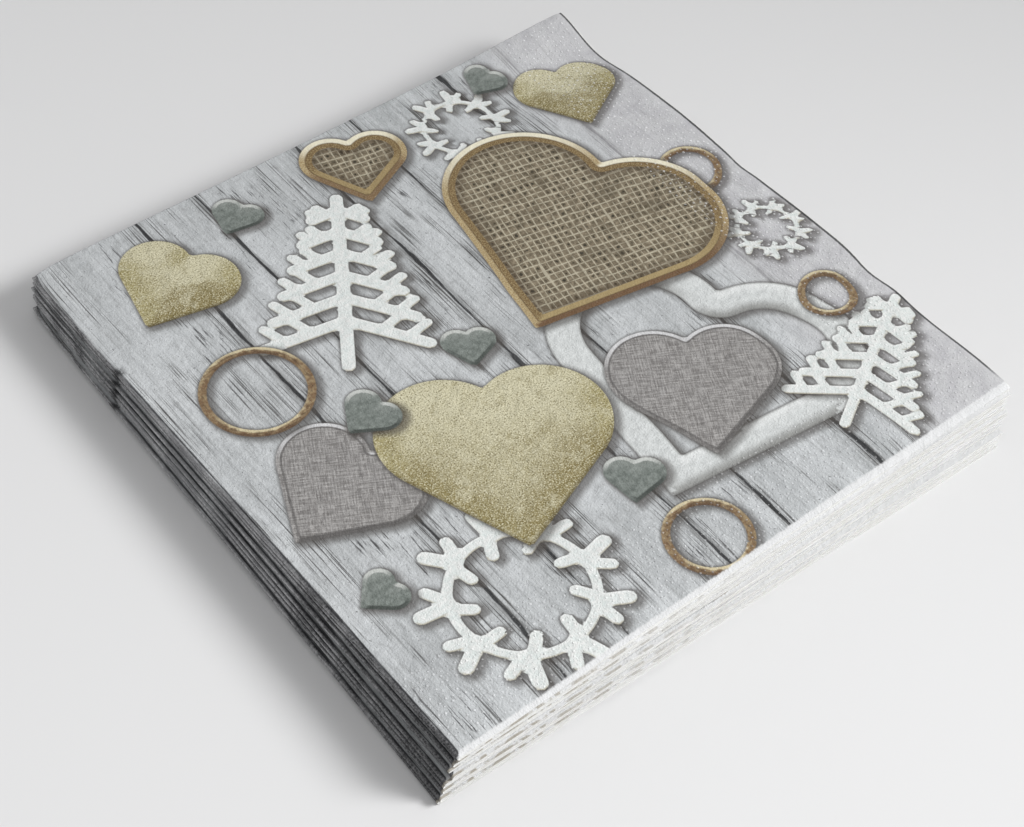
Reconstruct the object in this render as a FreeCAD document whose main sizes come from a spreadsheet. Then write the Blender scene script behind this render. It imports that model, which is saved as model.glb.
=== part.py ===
"""A stack of ten quarter-folded paper napkins, lying on its lowest napkin.

+Z is up. +X runs from the side fold to the open side edge and +Y from the open front edge to the back
fold, so the closed corner of every napkin is at -X +Y and the free corner at +X -Y. The origin is on the
surface that the stack rests on, under the middle of the stack. All lengths are in millimetres.
"""
import FreeCAD, Part
import math
import os

import Sketcher

NAPKINS = 10

doc = FreeCAD.newDocument("napkin_stack")

# Driving sizes
SIZES = [
    ("side", 165, "edge of a folded napkin, a quarter of a 330 mm square sheet"),
    ("sheet", 0.2, "thickness of the three-ply tissue sheet"),
    ("leaf_gap", 0.075, "air between two leaves of one napkin"),
    ("leaf_step", 0.8, "how far the two inner leaves stop short of the front edge"),
    ("side_lift", 0.13, "how far a napkin opens between its leaves at the open side edge"),
    ("rest_gap", 0.05, "air between two napkins at their back edge"),
    ("front_lift", 0.33, "how far two napkins open between each other at the front edge"),
    ("lean_side", 3.6, "how far the top napkin lies towards +X of the lowest one"),
    ("lean_back", 3.3, "how far the top napkin lies towards +Y of the lowest one"),
    ("turn", 1.4, "how far the top napkin is turned from the lowest one, in degrees"),
    ("wander", 0.45, "how far a napkin strays from the even lean of the stack"),
    ("wander_turn", 0.18, "how far a napkin strays from the even turn of the stack, in degrees"),
]
sizes = doc.addObject("Spreadsheet::Sheet", "Sizes")
for row, (name, value, meaning) in enumerate(SIZES, start=1):
    sizes.set(f"A{row}", meaning)
    sizes.set(f"B{row}", str(value))
    sizes.setAlias(f"B{row}", name)

# What follows from them: the bends, the thickness of a napkin and the pitch of the stack
DERIVED = [
    ("half", "side / 2"),
    ("back_bend", "sheet + leaf_gap / 2"),
    ("side_bend", "2 * sheet + 1.5 * leaf_gap"),
    ("napkin", "2 * side_bend"),
    ("pitch", "napkin + side_lift / 2 + rest_gap + front_lift / 2"),
]
for row, (name, formula) in enumerate(DERIVED, start=len(SIZES) + 1):
    sizes.set(f"B{row}", "=" + formula)
    sizes.setAlias(f"B{row}", name)
doc.recompute()


def size(name):
    return float(getattr(sizes, name))


def origin_plane(body, role):
    return next(f for f in body.Origin.OriginFeatures if f.Role == role)


class Outline:
    """A sketch whose lines and arcs are held by constraints, with its sizes bound to the sheet."""

    def __init__(self, body, name, role):
        self.sketch = body.newObject("Sketcher::SketchObject", name)
        self.sketch.AttachmentSupport = [(origin_plane(body, role), "")]
        self.sketch.MapMode = "FlatFace"

    def line(self, start, end, construction=False):
        segment = Part.LineSegment(FreeCAD.Vector(*start, 0), FreeCAD.Vector(*end, 0))
        return self.sketch.addGeometry(segment, construction)

    def half_turn(self, centre, radius):
        circle = Part.Circle(FreeCAD.Vector(*centre, 0), FreeCAD.Vector(0, 0, 1), radius)
        return self.sketch.addGeometry(Part.ArcOfCircle(circle, -math.pi / 2, math.pi / 2))

    def hold(self, kind, *places):
        self.sketch.addConstraint(Sketcher.Constraint(kind, *places))

    def sized(self, name, formula, kind, *places):
        index = self.sketch.addConstraint(Sketcher.Constraint(kind, *places))
        self.sketch.renameConstraint(index, name)
        self.sketch.setExpression(f"Constraints.{name}", formula)


def once_folded(body):
    """Section of the sheet after its first fold: a long hairpin lying on the napkin's underside."""
    front, back = -size("half"), size("half") - size("back_bend")
    sheet, air, bend = size("sheet"), size("leaf_gap"), size("back_bend")
    short = front + size("leaf_step")
    flat = Outline(body, "once_folded", "YZ_Plane")
    flat.sketch.setExpression("AttachmentOffset.Base.z", "Sizes.side_bend - Sizes.half")

    under = flat.line((front, 0), (back, 0))
    outside = flat.half_turn((back, bend), bend)
    over = flat.line((back, 2 * bend), (short, 2 * bend))
    inner_edge = flat.line((short, 2 * bend), (short, sheet + air))
    inner_under = flat.line((short, sheet + air), (back, sheet + air))
    inside = flat.half_turn((back, bend), air / 2)
    outer_over = flat.line((back, sheet), (front, sheet))
    outer_edge = flat.line((front, sheet), (front, 0))

    flat.hold("Tangent", under, 2, outside, 1)
    flat.hold("Tangent", outside, 2, over, 1)
    flat.hold("Coincident", over, 2, inner_edge, 1)
    flat.hold("Coincident", inner_edge, 2, inner_under, 1)
    flat.hold("Tangent", inner_under, 2, inside, 2)
    flat.hold("Tangent", inside, 1, outer_over, 1)
    flat.hold("Coincident", outer_over, 2, outer_edge, 1)
    flat.hold("Coincident", outer_edge, 2, under, 1)
    flat.hold("Coincident", outside, 3, inside, 3)
    flat.hold("PointOnObject", under, 1, -1)
    flat.hold("Horizontal", under)
    flat.hold("Horizontal", over)
    flat.hold("Vertical", inner_edge)
    flat.hold("Vertical", outer_edge)
    flat.sized("front", "Sizes.half", "DistanceX", under, 1, -1, 1, -front)
    flat.sized("back", "Sizes.half - Sizes.back_bend", "DistanceX", -1, 1, outside, 3, back)
    flat.sized("bend", "Sizes.back_bend", "Radius", outside, bend)
    flat.sized("hollow", "Sizes.leaf_gap / 2", "Radius", inside, air / 2)
    flat.sized("step", "Sizes.leaf_step", "DistanceX", under, 1, inner_edge, 2, short - front)
    return flat.sketch


def leaf_ends(body):
    """The two leaves cut across at the side fold, and the line that they turn about."""
    front, back = -size("half"), size("half") - size("back_bend")
    sheet, air = size("sheet"), size("leaf_gap")
    cut = Outline(body, "leaf_ends", "YZ_Plane")
    cut.sketch.setExpression("AttachmentOffset.Base.z", "Sizes.side_bend - Sizes.half")

    def leaf(name, start, low, front_formula, low_formula):
        corners = [(start, low), (back, low), (back, low + sheet), (start, low + sheet)]
        sides = [cut.line(a, b) for a, b in zip(corners, corners[1:] + corners[:1])]
        for this, after in zip(sides, sides[1:] + sides[:1]):
            cut.hold("Coincident", this, 2, after, 1)
        for flat_side in sides[0::2]:
            cut.hold("Horizontal", flat_side)
        for end in sides[1::2]:
            cut.hold("Vertical", end)
        cut.sized(f"{name}_front", front_formula, "DistanceX", sides[0], 1, -1, 1, -start)
        cut.sized(f"{name}_back", "Sizes.half - Sizes.back_bend", "DistanceX", -1, 1, sides[0], 2, back)
        cut.sized(f"{name}_sheet", "Sizes.sheet", "DistanceY", sides[1], 1, sides[1], 2, sheet)
        if low_formula:
            cut.sized(f"{name}_height", low_formula, "DistanceY", -1, 1, sides[0], 1, low)
        else:
            cut.hold("PointOnObject", sides[0], 1, -1)

    leaf("outer", front, 0, "Sizes.half", "")
    leaf("inner", front + size("leaf_step"), sheet + air, "Sizes.half - Sizes.leaf_step",
         "Sizes.sheet + Sizes.leaf_gap")

    middle = cut.line((front, size("side_bend")), (back, size("side_bend")), construction=True)
    cut.hold("Horizontal", middle)
    cut.sized("middle_height", "Sizes.side_bend", "DistanceY", -1, 1, middle, 1, size("side_bend"))
    cut.sized("middle_front", "Sizes.half", "DistanceX", middle, 1, -1, 1, -front)
    cut.sized("middle_back", "Sizes.half - Sizes.back_bend", "DistanceX", -1, 1, middle, 2, back)
    return cut.sketch


def folded_napkin(number):
    """One sheet folded twice: back fold first, then the side fold, in its own place in the stack."""
    body = doc.addObject("PartDesign::Body", f"napkin_{number:02d}")
    body.Label = f"napkin_{number:02d}"

    lower = body.newObject("PartDesign::Pad", "lower_leaves")
    lower.Profile = once_folded(body)
    lower.setExpression("Length", "Sizes.side - Sizes.side_bend")

    ends = leaf_ends(body)
    fold = body.newObject("PartDesign::Revolution", "side_fold")
    fold.Profile = ends
    fold.ReferenceAxis = (ends, ["Axis0"])
    fold.setExpression("Angle", "180 deg - atan(Sizes.side_lift / Sizes.side)")

    halfway = body.newObject("PartDesign::Plane", "halfway")
    halfway.AttachmentSupport = [(origin_plane(body, "XY_Plane"), "")]
    halfway.MapMode = "FlatFace"
    halfway.setExpression(
        "AttachmentOffset",
        "placement(vector(Sizes.side_bend - Sizes.half; 0; Sizes.side_bend);"
        " rotation(0; -atan(Sizes.side_lift / Sizes.side) / 2; 0))",
    )
    doc.recompute()
    upper = body.newObject("PartDesign::Mirrored", "upper_leaves")
    upper.Originals = [lower]
    upper.MirrorPlane = (halfway, [""])
    body.Tip = upper

    place_in_stack(body, number)
    return body


def place_in_stack(body, number):
    """Each napkin lies on the one below, tilted by the open edges under it and a little out of line."""
    below = number - 1
    share = below / (NAPKINS - 1) - 0.5
    stray_x = math.sin(2.4 * number)
    stray_y = math.sin(1.7 * number + 1.0)
    stray_turn = math.sin(3.1 * number + 0.5)
    body.setExpression(
        "Placement",
        f"placement(vector({share} * Sizes.lean_side + {stray_x} * Sizes.wander;"
        f" {share} * Sizes.lean_back + {stray_y} * Sizes.wander;"
        f" {below} * Sizes.pitch);"
        f" rotation({share} * Sizes.turn + {stray_turn} * Sizes.wander_turn;"
        f" -{below} * atan(Sizes.side_lift / Sizes.side);"
        f" -{below} * atan(Sizes.front_lift / Sizes.side)))",
    )


def check(parts):
    """Nothing is written unless every step of the model worked out."""
    for thing in doc.Objects:
        if "Invalid" in thing.State or "Error" in thing.State:
            raise RuntimeError(f"{thing.Label} failed: {thing.State}")
    for part in parts:
        shape = part.Shape
        if shape.isNull() or not shape.isValid() or len(shape.Solids) != 1:
            raise RuntimeError(f"{part.Label} is not one sound solid")


napkins = [folded_napkin(number) for number in range(1, NAPKINS + 1)]
doc.recompute()
check(napkins)

os.makedirs("parts", exist_ok=True)
for napkin in napkins:
    napkin.Shape.exportStep(os.path.join("parts", f"{napkin.Label}.step"))
    box = napkin.Shape.BoundBox
    print(f"{napkin.Label}: {napkin.Shape.Volume:.0f} mm3, z {box.ZMin:.2f} to {box.ZMax:.2f},"
          f" x {box.XMin:.2f} to {box.XMax:.2f}, y {box.YMin:.2f} to {box.YMax:.2f}")
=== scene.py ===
# %% [markdown]
# # A stack of folded paper napkins
# Ten square sheets of three-ply tissue, each printed on one side, folded once backwards and once sideways
# and laid loosely on each other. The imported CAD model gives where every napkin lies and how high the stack
# stands at each corner. This file adds what a ruler doesn't show: the soft leaves, the print, the raised
# dots of the border, and the light. Lengths are in millimetres until a mesh is finished, because paper is
# easier to think of that way, and each finished mesh is in metres.

import math

import bpy
import numpy as np
from mathutils import Matrix, Vector


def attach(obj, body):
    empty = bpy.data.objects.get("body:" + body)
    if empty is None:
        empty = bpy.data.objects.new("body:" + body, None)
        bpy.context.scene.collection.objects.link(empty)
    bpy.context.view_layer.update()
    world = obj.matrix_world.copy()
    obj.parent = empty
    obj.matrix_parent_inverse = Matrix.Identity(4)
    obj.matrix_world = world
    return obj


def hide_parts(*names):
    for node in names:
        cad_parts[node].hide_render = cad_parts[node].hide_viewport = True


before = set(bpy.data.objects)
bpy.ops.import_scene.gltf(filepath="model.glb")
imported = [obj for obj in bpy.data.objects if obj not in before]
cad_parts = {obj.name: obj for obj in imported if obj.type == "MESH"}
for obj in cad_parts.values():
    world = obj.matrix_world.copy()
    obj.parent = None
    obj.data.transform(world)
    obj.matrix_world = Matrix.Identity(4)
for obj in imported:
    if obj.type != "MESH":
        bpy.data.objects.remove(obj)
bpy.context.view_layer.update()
MM = 0.001

# %% [markdown]
# ## Where each napkin lies
# A CAD napkin is a folded square whose corners are its furthest points in the four diagonal directions.
# From them come its middle, its turn on the stack and its side. The stack isn't flat: the closed corner,
# where two folds press the paper together, is the lowest and the free corner opposite it is the highest.
# Reading this from the frame keeps the paper where the CAD has it, whatever its size.

# %% Measure the napkins
NAPKINS = sorted(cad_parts)
LEAVES = 4 * len(NAPKINS)


def read(items, name, width=1, kind=float):
    """One property of every item as an array, with a row for each item where it has several numbers."""
    values = np.zeros(len(items) * width, kind)
    items.foreach_get(name, values)
    return values.reshape(-1, width) if width > 1 else values


def cad_points(node):
    return read(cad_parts[node].data.vertices, "co", 3) / MM


def cad_corner(node, toward_x, toward_y):
    """The place and the top height of a napkin's corner in one diagonal direction."""
    points = cad_points(node)
    reach = points @ (toward_x, toward_y, 0)
    near = points[reach > reach.max() - 0.05]
    return np.array([*near[:, :2].mean(0), points[reach > reach.max() - 3, 2].max()])


def napkin_place(node):
    """Middle x and y, turn in radians, and side of a napkin, as it lies in the frame."""
    left_front, right_front = cad_corner(node, -1, -1), cad_corner(node, 1, -1)
    left_back, right_back = cad_corner(node, -1, 1), cad_corner(node, 1, 1)
    middle = (left_front + right_front + left_back + right_back) / 4
    across = (right_front + right_back - left_front - left_back) / 2
    return middle[0], middle[1], math.atan2(across[1], across[0]), float(np.hypot(across[0], across[1]))


PLACES = {node: napkin_place(node) for node in NAPKINS}
TOP = NAPKINS[-1]
TOP_X, TOP_Y, TOP_TURN, SIDE = PLACES[TOP]
HALF = SIDE / 2
CORNER_HEIGHTS = {(x, y): cad_corner(TOP, x, y)[2] for x in (-1, 1) for y in (-1, 1)}
print(f"side {SIDE:.2f} mm, top turned {math.degrees(TOP_TURN):.2f} degrees, heights {CORNER_HEIGHTS}")

# %% [markdown]
# ## The camera
# The camera stands in front of the left corner and looks down on the stack. Its place and lens were worked
# out from the seven corners of the stack that the photograph shows, in the frame of the top napkin, so it
# is turned and moved with that napkin here. A camera could also be aimed by eye, but then the picture and
# the model would only nearly agree.

# %% Set up the camera
CAMERA_PLACE = (-229.574, -239.529, 379.800)
PICTURE_RIGHT = (0.774060, -0.629200, 0.070277)
PICTURE_DOWN = (-0.450779, -0.625671, -0.636658)
LENS, SENSOR = 73.65, 36.0


def new_object(name, data):
    """An object in the scene, at the origin."""
    thing = bpy.data.objects.new(name, data)
    bpy.context.scene.collection.objects.link(thing)
    return thing


top_frame = Matrix.Translation((TOP_X, TOP_Y, 0)) @ Matrix.Rotation(TOP_TURN, 4, "Z")
right, down = Vector(PICTURE_RIGHT).normalized(), Vector(PICTURE_DOWN).normalized()
turned_axes = Matrix((right, -down, right.cross(-down))).transposed().to_4x4()
camera_frame = top_frame @ Matrix.Translation(CAMERA_PLACE) @ turned_axes
camera = new_object("camera", bpy.data.cameras.new("camera"))
camera.data.lens, camera.data.sensor_width = LENS, SENSOR
camera.data.clip_start, camera.data.clip_end = 0.01, 20
camera.rotation_mode = "QUATERNION"
camera.location = camera_frame.to_translation() * MM
camera.rotation_quaternion = camera_frame.to_quaternion()
bpy.context.scene.camera = camera
print("camera at", [round(c, 3) for c in camera.location])

# %% [markdown]
# ## Writing formulas as nodes
# A material or a Geometry Nodes tree is a formula drawn as boxes. To write one in code without a page of
# links, a Wire holds one output, and each sign between wires adds the Math node for it. The same class
# serves both kinds of tree, because they share the Math, Mix, Map Range and Noise nodes.


# %% Wires: node outputs that can be used in a formula
class Wire:
    def __init__(self, tree, socket):
        self.tree, self.socket = tree, socket

    def math(self, operation, *others):
        node = self.tree.nodes.new("ShaderNodeMath")
        node.operation = operation
        for place, value in enumerate((self, *others)):
            plug(self.tree, value, node.inputs[place])
        return Wire(self.tree, node.outputs[0])

    def __add__(self, other):
        return self.math("ADD", other)

    def __mul__(self, other):
        return self.math("MULTIPLY", other)

    def __sub__(self, other):
        return self.math("SUBTRACT", other)

    def __truediv__(self, other):
        return self.math("DIVIDE", other)

    def less_from(self, other):
        """other minus this."""
        return self.math("MULTIPLY_ADD", -1.0, other)

    def size(self):
        return self.math("ABSOLUTE")

    def between(self, low, high):
        return self.math("MAXIMUM", low).math("MINIMUM", high)

    def rise(self, low, high):
        """0 below low and 1 above high, with a soft step between them; low may be the larger."""
        node = self.tree.nodes.new("ShaderNodeMapRange")
        node.interpolation_type = "SMOOTHSTEP"
        plug(self.tree, self, node.inputs["Value"])
        node.inputs["From Min"].default_value = low
        node.inputs["From Max"].default_value = high
        return Wire(self.tree, node.outputs[0])


def plug(tree, value, socket):
    if isinstance(value, Wire):
        tree.links.new(value.socket, socket)
    else:
        socket.default_value = value


print("a wire adds, multiplies, subtracts and divides, and rises softly between two values")

# %% [markdown]
# ## Colours, places and noise
# Three more nodes are used all the time: one lays a colour over another, one joins three numbers to a
# place, and one gives cloudy noise at a place. Nearly every stain, grain and thread further down is noise
# that is stretched, cut with rise() and used to blend two colours.


# %% Nodes that mix colours and make noise
def blend(factor, under, over):
    """One colour over another, as far as factor says."""
    tree = factor.tree
    node = tree.nodes.new("ShaderNodeMix")
    node.data_type = "RGBA"
    sockets = [s for s in node.inputs if s.type == "RGBA"]
    plug(tree, factor, node.inputs[0])
    for value, socket in zip((under, over), sockets):
        plug(tree, value if isinstance(value, Wire) else (*value, 1.0), socket)
    return Wire(tree, next(s for s in node.outputs if s.type == "RGBA"))


def joined(tree, x, y, z=0.0):
    node = tree.nodes.new("ShaderNodeCombineXYZ")
    for value, socket in zip((x, y, z), node.inputs):
        plug(tree, value, socket)
    return Wire(tree, node.outputs[0])


def noise(at, scale=1.0, detail=2.0, rough=0.5):
    """Cloudy numbers between 0 and 1."""
    node = at.tree.nodes.new("ShaderNodeTexNoise")
    plug(at.tree, at, node.inputs["Vector"])
    for name, value in (("Scale", scale), ("Detail", detail), ("Roughness", rough)):
        node.inputs[name].default_value = value
    return Wire(at.tree, node.outputs[0])


print("helpers for nodes:", ", ".join(helper.__name__ for helper in (blend, joined, noise)))

# %% [markdown]
# ## One flat sheet
# A napkin starts as one flat square. Its mesh is a net of lines along u and v, counted from the two fold
# lines. The lines lie close together at the folds, where the paper turns within a millimetre, and at the
# cut edges, and wider on the leaves. One even net fine enough for a fold would need millions of faces.
# The top leaf of the top napkin and the bottom leaf of the lowest one show the whole print, so they get a
# fine net, and the leaves hidden inside get a wide one. The inner pair of leaves stops a hem short of the
# front edge, as it does in the CAD.

# %% Divide the sheet
LEAF_PITCH = sum(CORNER_HEIGHTS.values()) / 4 / LEAVES
BACK_BEND, OUTER_BEND = 0.5 * LEAF_PITCH, 1.5 * LEAF_PITCH
SHEET_THICK, EDGE_THICK = 0.2, 0.42
FINE_STEP, WIDE_STEP, BEND_STEP = 1.1, 4.5, 0.13
STEP_GROWTH = 1.35
EDGE_LINES = (4.2, 2.6, 1.4, 0.6, 0)
HEM = 0.8
REACH_U = SIDE + (math.pi / 2 - 1) * OUTER_BEND
REACH_V = SIDE + (math.pi / 2 - 1) * BACK_BEND


def marks(reach, step):
    """Distances from a fold line at which one side of the sheet is divided."""
    found = list(np.arange(0, math.pi / 2 * OUTER_BEND + BEND_STEP, BEND_STEP))
    edge = [reach - back for back in EDGE_LINES]
    while found[-1] < edge[0] - step:
        found.append(found[-1] + min(step, STEP_GROWTH * (found[-1] - found[-2])))
    even = np.linspace(found[-1], edge[0], 3 if edge[0] - found[-1] > step else 2)
    return np.array(found[:-1] + list(even[:-1]) + edge)


def both_ways(reach_minus, reach_plus, step_minus, step_plus):
    return np.concatenate([-marks(reach_minus, step_minus)[:0:-1], marks(reach_plus, step_plus)])


def flat_sheet(name, u, v):
    """A net in the plane, wound so that its printed side faces out once it is folded."""
    across, along = np.meshgrid(u, v, indexing="ij")
    points = np.stack([across.ravel(), along.ravel(), np.zeros(across.size)], 1)
    number = np.arange(across.size).reshape(across.shape)
    quads = np.stack([number[:-1, :-1], number[:-1, 1:], number[1:, 1:], number[1:, :-1]], -1).reshape(-1, 4)
    mesh = bpy.data.meshes.new(name)
    mesh.from_pydata(points.tolist(), [], quads.tolist())
    return mesh


print(f"leaf pitch {LEAF_PITCH:.3f} mm; {len(marks(REACH_U, FINE_STEP))} fine marks or "
      f"{len(marks(REACH_U, WIDE_STEP))} wide ones on each side of a fold")

# %% [markdown]
# ## The start and end of a tree
# A Geometry Nodes tree takes a geometry and some sizes and gives a geometry back. The sizes are named
# inputs, so that the tree can be used again with others. It ends in real geometry with a material,
# because an export drops instances that exist only as places.


# %% Helpers for Geometry Nodes
def new_tree(name, taken, made, sizes):
    """A Geometry Nodes tree that takes one geometry, has named sizes and makes another geometry."""
    tree = bpy.data.node_groups.new(name, "GeometryNodeTree")
    tree.interface.new_socket(taken, in_out="INPUT", socket_type="NodeSocketGeometry")
    for size, value in sizes.items():
        socket = tree.interface.new_socket(size, in_out="INPUT", socket_type="NodeSocketFloat")
        socket.default_value = value
    tree.interface.new_socket(made, in_out="OUTPUT", socket_type="NodeSocketGeometry")
    return tree, tree.nodes.new("NodeGroupInput")


def end_tree(tree, geometry, material):
    """The last nodes of a tree: real geometry in place of instances, and its material."""
    whole = tree.nodes.new("GeometryNodeRealizeInstances")
    finish = tree.nodes.new("GeometryNodeSetMaterial")
    finish.inputs["Material"].default_value = material
    result = tree.nodes.new("NodeGroupOutput")
    tree.links.new(geometry, whole.inputs[0])
    tree.links.new(whole.outputs[0], finish.inputs["Geometry"])
    tree.links.new(finish.outputs[0], result.inputs[0])


print("helpers for trees:", ", ".join(helper.__name__ for helper in (new_tree, end_tree)))

# %% [markdown]
# ## Folding in four
# The real sheet is folded twice by a machine: first backwards along v = 0, then sideways along u = 0. A
# fold is a half circle with a straight leaf on each side, so the folded place of any point follows a rule
# and a Geometry Nodes tree can work it out. The first fold makes an inner and an outer pair of leaves. At
# the second fold the inner pair turns tightly and the outer pair turns around it, so the radius there
# depends on how far a point is through the first fold. Cloth simulation could fold a sheet too, but it
# would need a fine even net and would not hold a crease.


# %% The folding tree
def folding_tree(material):
    tree, given = new_tree("fold_in_four", "Sheet", "Napkin", {"Half side": HALF, "Leaf pitch": LEAF_PITCH})
    half, pitch = (Wire(tree, given.outputs[name]) for name in ("Half side", "Leaf pitch"))
    place = tree.nodes.new("ShaderNodeSeparateXYZ")
    tree.links.new(tree.nodes.new("GeometryNodeInputPosition").outputs[0], place.inputs[0])
    u, v = (Wire(tree, place.outputs[axis]) for axis in (0, 1))
    quarter = math.pi / 2

    back_radius = pitch * 0.5
    back_turn = (v / back_radius).between(-quarter, quarter)
    back_leaf = (v.size() - back_radius * quarter).math("MAXIMUM", 0.0)
    y = half - back_radius + back_radius * back_turn.math("COSINE") - back_leaf

    side_radius = pitch * (back_turn.math("SINE") * 0.5 + 1.0)
    side_turn = (u / side_radius).between(-quarter, quarter)
    side_leaf = (u.size() - side_radius * quarter).math("MAXIMUM", 0.0)
    x = side_leaf - side_radius * side_turn.math("COSINE") + pitch * 1.5 - half
    z = side_radius * side_turn.math("SINE")

    move = tree.nodes.new("GeometryNodeSetPosition")
    plug(tree, joined(tree, x, y, z), move.inputs["Position"])
    tree.links.new(given.outputs["Sheet"], move.inputs["Geometry"])
    end_tree(tree, move.outputs[0], material)
    return tree


print(f"the back fold bends at {BACK_BEND:.2f} mm, the side fold at {BACK_BEND:.2f} and {OUTER_BEND:.2f} mm")

# %% [markdown]
# ## From modifiers to a plain mesh
# A tree and a Solidify are modifiers: they are worked out anew each time, and other tools don't see what
# they make. So the finished shape is copied into a plain mesh and the object that held the modifiers is
# removed. A modifier's input goes by its socket's identifier, which is looked up by name here.


# %% Bake a mesh
def baked_object(holder, name):
    """What an object's modifiers make of its mesh, as a plain mesh."""
    evaluated = holder.evaluated_get(bpy.context.evaluated_depsgraph_get())
    mesh = bpy.data.meshes.new_from_object(evaluated)
    mesh.name = name
    bpy.data.objects.remove(holder)
    return mesh


def through_tree(mesh, tree, name, **values):
    """Runs a mesh through a Geometry Nodes tree. Inputs are named with _ for a space."""
    holder = new_object(name, mesh)
    modifier = holder.modifiers.new("tree", "NODES")
    modifier.node_group = tree
    sockets = {s.name: s.identifier for s in tree.interface.items_tree if s.in_out == "INPUT"}
    for key, value in values.items():
        modifier[sockets[key.replace("_", " ")]] = value
    return baked_object(holder, name)


print("helpers for meshes:", ", ".join(helper.__name__ for helper in (baked_object, through_tree)))

# %% [markdown]
# ## Laying a folded napkin on the stack
# The folded napkin is still a perfect block. Laid on the stack, its leaves spread over the height that the
# stack has there, its sides waver a little, and every leaf drifts a little up and down in the air that it
# has. All of the drift is made from slow sine waves with fixed seeds, so it is the same on each run, and
# it stays below the gap between two leaves, so no leaf cuts another. The top sheets lift at the back right
# corner and dip beside it, as the far edge in the photograph does.

# %% Waves and heights
RAISED, RAISED_ALONG, RAISED_ACROSS = 1.9, 30, 8
DIP, DIP_ALONG, DIP_ACROSS, DIP_FROM_CORNER = 1.7, 34, 9, 17
SMALL_DENT, WIDE_DENT, DENT_FREE = 0.22, 0.3, 25
FRONT_DROOP, FRONT_DROOP_REACH = 0.75, 1.6
SIDE_DROOP, SIDE_DROOP_REACH = 0.45, 1.5
CLOSED_DROOP, CLOSED_DROOP_REACH = 0.35, 5.0
WAVER = 0.26
DRIFT_WAVES, DRIFT_HIGHEST, LEVEL_DRIFT, FULL_TURN = 6, 3.4, 1.9, 6.28
OPEN_EDGE_WAVES = (
    (50, 1.0, 17), (72, -0.55, 4), (97, 1.1, 18), (108, 0.35, 7), (119, -0.7, 5), (127, 0.45, 5),
    (138, -0.25, 7), (154, 0.3, 8),
)


def drift(seed, spread, x, y, level=0.0):
    """A slow wave between about -1 and 1 over the stack."""
    random = np.random.default_rng(seed)
    total = 0.0
    for _ in range(DRIFT_WAVES):
        along_x, along_y = random.normal(0, 1 / spread, 2)
        along_level = random.normal(0, LEVEL_DRIFT)
        phase = random.uniform(0, FULL_TURN)
        total = total + np.sin(along_x * x + along_y * y + along_level * level + phase)
    return np.clip(total / DRIFT_HIGHEST, -1, 1)


def stack_height(x, y):
    """Height of the stack over a place in the top napkin's own square, from its four corners."""
    right_share, back_share = (x / SIDE + 0.5), (y / SIDE + 0.5)
    return (
        CORNER_HEIGHTS[-1, -1] * (1 - right_share) * (1 - back_share)
        + CORNER_HEIGHTS[1, -1] * right_share * (1 - back_share)
        + CORNER_HEIGHTS[-1, 1] * (1 - right_share) * back_share
        + CORNER_HEIGHTS[1, 1] * right_share * back_share
    )


def hump(distance, width):
    return np.exp(-((distance / width) ** 2))


def lifted(x, y):
    """How far the top sheet rises above the even stack: the raised back right corner."""
    return RAISED * hump(HALF - x, RAISED_ALONG) * hump(HALF - y, RAISED_ACROSS)


def sunk(x, y):
    """How far the top sheet sinks below it: the dip beside that corner, soft dents, and edges that droop."""
    dip = -DIP * hump(HALF - x, DIP_ALONG) * hump(y - (HALF - DIP_FROM_CORNER), DIP_ACROSS)
    dents = SMALL_DENT * drift(11, 26, x, y) + WIDE_DENT * drift(12, 60, x, y)
    front, side = np.clip(y + HALF, 0, None), np.clip(HALF - x, 0, None)
    droop = -FRONT_DROOP * np.exp(-front / FRONT_DROOP_REACH) - SIDE_DROOP * np.exp(-side / SIDE_DROOP_REACH)
    closed = -CLOSED_DROOP * np.exp(-np.hypot(x + HALF, HALF - y) / CLOSED_DROOP_REACH)
    return dip + dents * (1 - hump(HALF - x, DENT_FREE)) + droop + closed


def bowed(y, number):
    """How far the open side's edge bows out: low waves that are strongest on the top napkins."""
    from_back = HALF - y
    waves = sum(out * hump(from_back - place, width) for place, out, width in OPEN_EDGE_WAVES)
    return waves * (number / (len(NAPKINS) - 1)) ** 2


print(f"the stack is {stack_height(-HALF, HALF):.1f} mm high at its closed corner")
print(f"and {stack_height(HALF, -HALF):.1f} mm at its free corner")

# %% [markdown]
# ## The places of the leaves
# A point of a folded napkin knows its own x and y and which leaf it is on. First it drifts a little in the
# plane, then it is turned and moved to where its napkin lies, and last it gets its height, which is its
# share of the stack's height there. The shares keep the leaves in order, so no leaf has to be tested
# against another.

# %% From a folded block to a loose napkin
GAP_USED = 0.42
FRONT_SQUEEZE = 0.20
FRONT_DRIFT, FRONT_LOOSE = 0.3, 12
CORNER_PULL, CORNER_PULL_REACH = 1.2, 3.0


def turned(x, y, angle):
    return x * math.cos(angle) - y * math.sin(angle), x * math.sin(angle) + y * math.cos(angle)


def wavered(x, y, step, node):
    """A napkin's own x and y with wavering sides, a loose front edge and a rounded closed corner."""
    number = NAPKINS.index(node)
    y = y + WAVER * drift(100 + number, 35, x, 0 * y) * np.clip((HALF - y) / SIDE, 0, 1)
    x = x + WAVER * drift(200 + number, 30, 0 * x, y) * (node != TOP)
    x = x + bowed(y, number) * np.clip(0.5 + x / SIDE, 0, 1) ** 2
    loose = np.clip((-y - HALF + FRONT_LOOSE) / FRONT_LOOSE, 0, 1)
    y = y + FRONT_DRIFT * loose * drift(300, 16, x, 0 * y, step + 4 * number)
    closed = np.exp(-np.hypot(x + HALF, HALF - y) / CORNER_PULL_REACH)
    pull = CORNER_PULL * closed * (0.45 + 0.55 * np.abs(step) / 1.5)
    return x + pull, y - pull


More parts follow.
